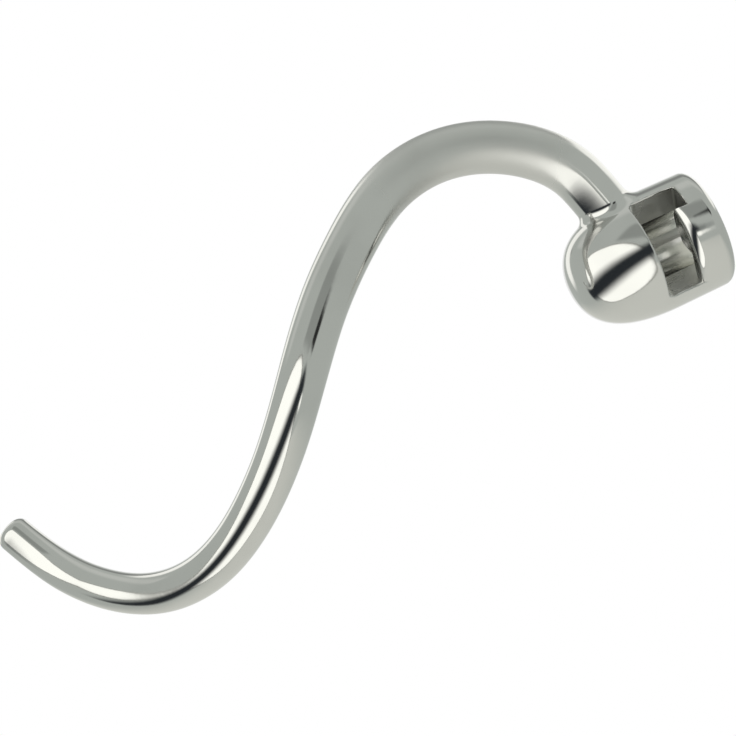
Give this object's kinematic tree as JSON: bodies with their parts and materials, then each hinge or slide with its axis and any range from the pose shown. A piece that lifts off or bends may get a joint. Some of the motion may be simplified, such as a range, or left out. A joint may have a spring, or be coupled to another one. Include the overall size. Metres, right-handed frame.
{
  "type": "stand mixer dough hook",
  "caption": "Spiral dough hook for a stand mixer: a tapered steel rod that winds down from a bullet-shaped hub with a blind bayonet socket for the drive shaft.",
  "frame": {"origin": "centre of the drive socket's mouth, on the hub's flat rim", "axes": "+Z along the socket's axis and out of its mouth, so the hook hangs below; -Y is the side with the bayonet window, -X the side where the rod leaves the hub"},
  "size_m": [0.069, 0.0575, 0.1645],
  "materials": {
    "polished_steel": "mirror polished"
  },
  "bodies": {
    "root": {"dough_hook": "polished_steel"}
  },
  "joints": []
}
